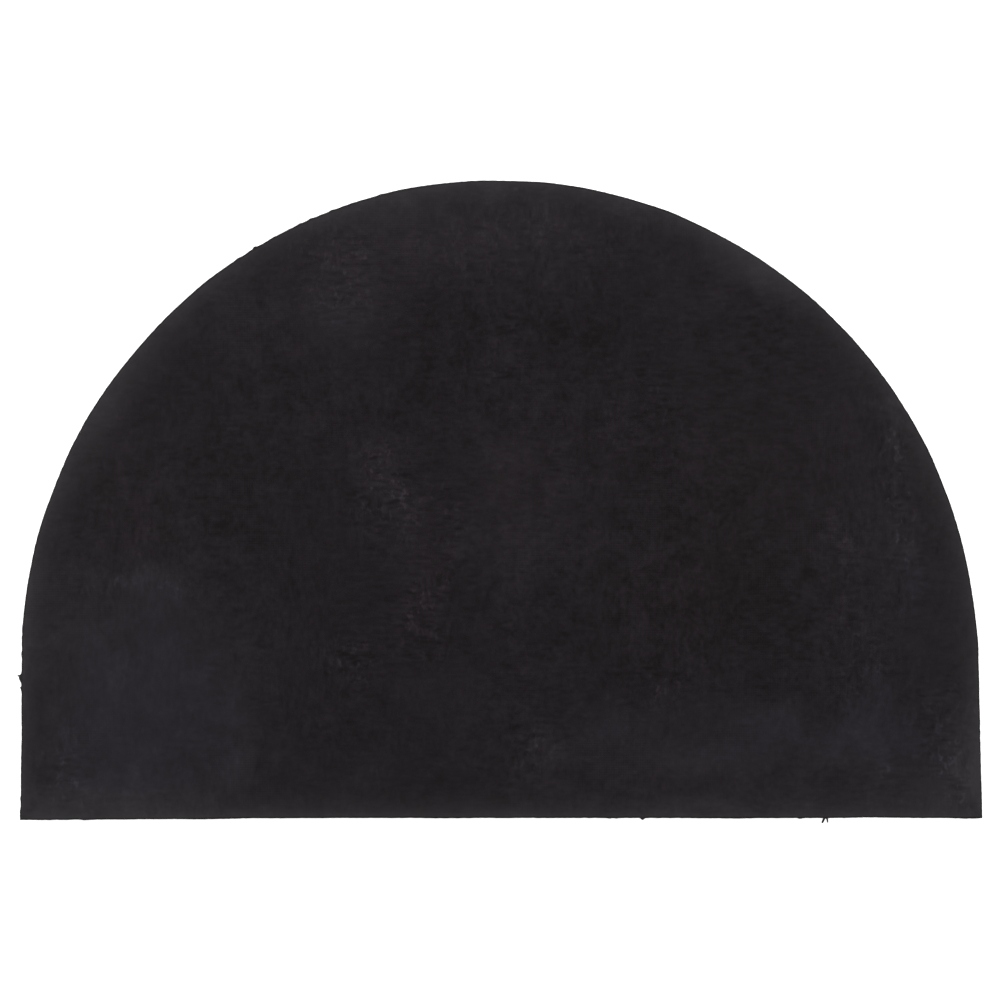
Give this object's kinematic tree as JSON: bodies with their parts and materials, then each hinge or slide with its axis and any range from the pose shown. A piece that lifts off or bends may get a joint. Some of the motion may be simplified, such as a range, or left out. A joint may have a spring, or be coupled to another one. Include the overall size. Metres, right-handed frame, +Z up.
{
  "type": "half round doormat",
  "caption": "Half round entrance mat of stiff black bristle pile on a black rubber backing, lying turned over with its backing up.",
  "frame": {"origin": "under the middle of the mat, on the ground that its pile lies on", "axes": "+X to the right along the straight front edge, +Y towards the round end, +Z up through the backing"},
  "size_m": [0.6011, 0.4007, 0.015],
  "materials": {
    "black_rubber": "matt, with the fine imprint of the belt that it was cast on",
    "black_bristle": "matt stiff fibres, cut level"
  },
  "bodies": {
    "root": {"rubber_backing": "black_rubber", "bristle_pile": "black_bristle"}
  },
  "joints": []
}
